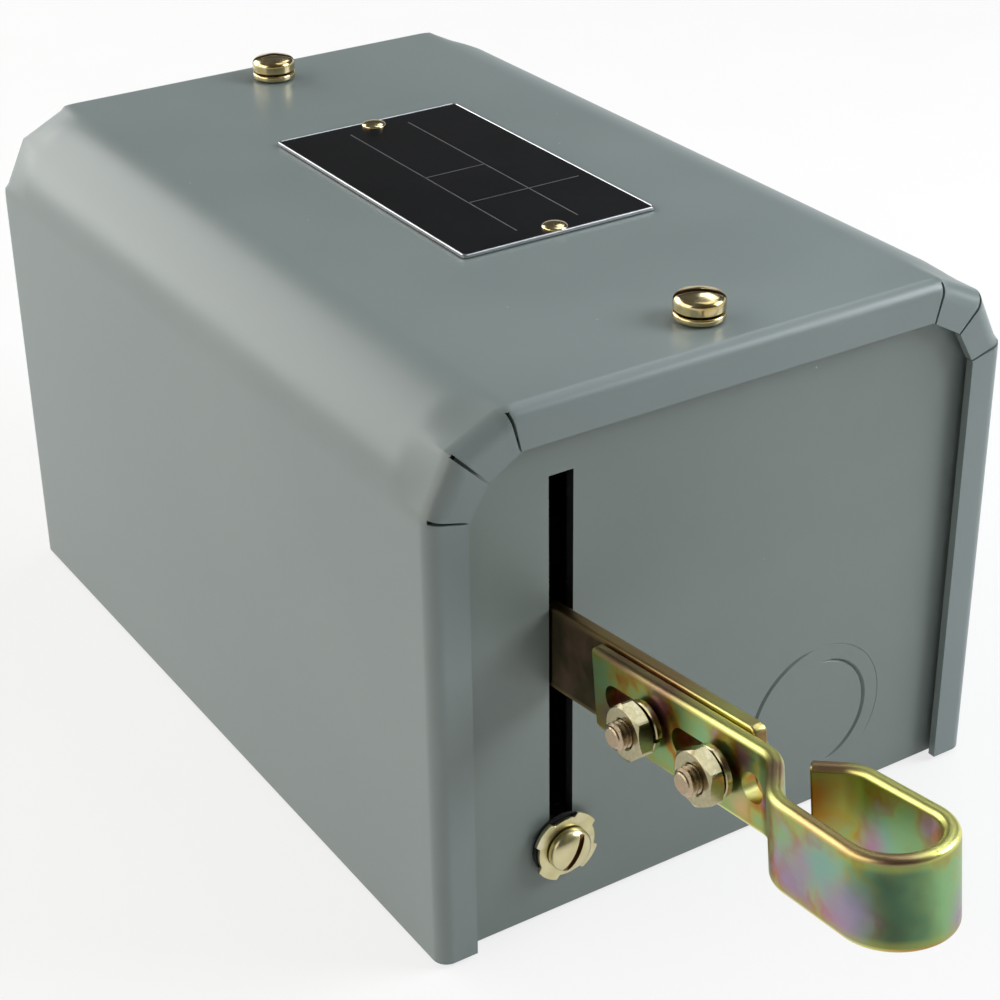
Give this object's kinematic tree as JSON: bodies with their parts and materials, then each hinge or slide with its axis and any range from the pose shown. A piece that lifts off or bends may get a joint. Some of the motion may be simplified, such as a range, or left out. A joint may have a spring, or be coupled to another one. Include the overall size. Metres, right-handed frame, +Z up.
{
  "type": "lever-operated float switch",
  "caption": "Float switch in a grey sheet-steel enclosure: a plated lever with an adjustable rod loop comes out of a slotted end plate and tips a contact rocker inside.",
  "frame": {"origin": "centre of the base's underside", "axes": "+Z up out of the base, -Y the way the lever points, +X to the right of someone facing the lever end"},
  "size_m": [0.115, 0.2564, 0.104],
  "materials": {
    "cover_enamel": "semi-gloss grey baked enamel on sheet steel",
    "base_enamel": "semi-gloss grey baked enamel on sheet steel",
    "nameplate_black": "black lacquer on thin sheet, bare edge",
    "gold_hardware": "yellow chromate on zinc plate",
    "pale_zinc": "pale yellow chromate on zinc plate",
    "black_fibre": "black vulcanised fibre",
    "lever_chromate": "yellow chromate on zinc plate, iridescent",
    "bracket_chromate": "yellow chromate on zinc plate, strongly iridescent",
    "bolt_zinc": "pale yellow chromate on zinc plate",
    "plated_steel": "bright zinc plate",
    "spring_steel": "drawn spring steel",
    "phenolic": "moulded dark phenolic",
    "contact_brass": "rolled brass"
  },
  "bodies": {
    "chassis": {"base_channel": "base_enamel", "stop_screw": "pale_zinc", "stop_washer": "pale_zinc", "stop_fibre_washer": "black_fibre", "stop_nut": "pale_zinc", "lever_bracket": "plated_steel", "lever_pivot_pin": "plated_steel", "lever_pivot_ring_left": "spring_steel", "lever_pivot_ring_right": "spring_steel", "lever_spacer_left": "contact_brass", "lever_spacer_right": "contact_brass", "rocker_bracket": "plated_steel", "rocker_pin": "plated_steel", "rocker_ring_left": "spring_steel", "rocker_ring_right": "spring_steel", "contact_block": "phenolic", "terminal_1": "contact_brass", "terminal_2": "contact_brass", "terminal_3": "contact_brass", "terminal_4": "contact_brass", "terminal_screw_1": "contact_brass", "terminal_screw_2": "contact_brass", "terminal_screw_3": "contact_brass", "terminal_screw_4": "contact_brass", "bracket_screw_1": "plated_steel", "bracket_screw_2": "plated_steel", "bracket_screw_3": "plated_steel", "bracket_screw_4": "plated_steel", "block_screw_left": "plated_steel", "block_screw_right": "plated_steel"},
    "cover": {"cover": "cover_enamel", "nameplate": "nameplate_black", "nameplate_rivet_front": "gold_hardware", "nameplate_rivet_rear": "gold_hardware", "cover_screw_front": "gold_hardware", "cover_screw_rear": "gold_hardware", "cover_washer_front": "gold_hardware", "cover_washer_rear": "gold_hardware"},
    "lever": {"lever_bar": "lever_chromate", "lever_bolt_inner": "bolt_zinc", "lever_bolt_outer": "bolt_zinc", "lever_lock_washer_inner": "bolt_zinc", "lever_lock_washer_outer": "bolt_zinc", "lever_nut_inner": "bolt_zinc", "lever_nut_outer": "bolt_zinc", "lever_spring_post": "plated_steel"},
    "loop": {"loop_bracket": "bracket_chromate"},
    "rocker": {"contact_rocker": "phenolic", "rocker_spring_post": "plated_steel", "contact_bridge_left": "contact_brass", "contact_bridge_right": "contact_brass", "bridge_rivet_left": "contact_brass", "bridge_rivet_right": "contact_brass", "toggle_spring": "spring_steel"}
  },
  "joints": [
    {"name": "lever_hinge", "type": "hinge", "parent": "chassis", "child": "lever", "pos_m": [0, -0.0174, 0.0456], "axis": [-1, 0, 0], "range_deg": [-20, 17], "deforming": ["toggle_spring"]},
    {"name": "loop_slide", "type": "slide", "parent": "lever", "child": "loop", "axis": [0, -0.9925, 0.1219], "range_m": [0, 0.009]},
    {"name": "rocker_hinge", "type": "hinge", "parent": "chassis", "child": "rocker", "pos_m": [0, 0.0071, 0.0426], "axis": [-1, 0, 0], "range_deg": [-9.2, 8], "deforming": ["toggle_spring"]},
    {"name": "cover_lift", "type": "slide", "parent": "chassis", "child": "cover", "axis": [0, 0, 1], "range_m": [0, 0.11]}
  ],
  "couplings": [
    {"joint": "rocker_hinge", "follows": "lever_hinge", "ratio": 0.45}
  ]
}
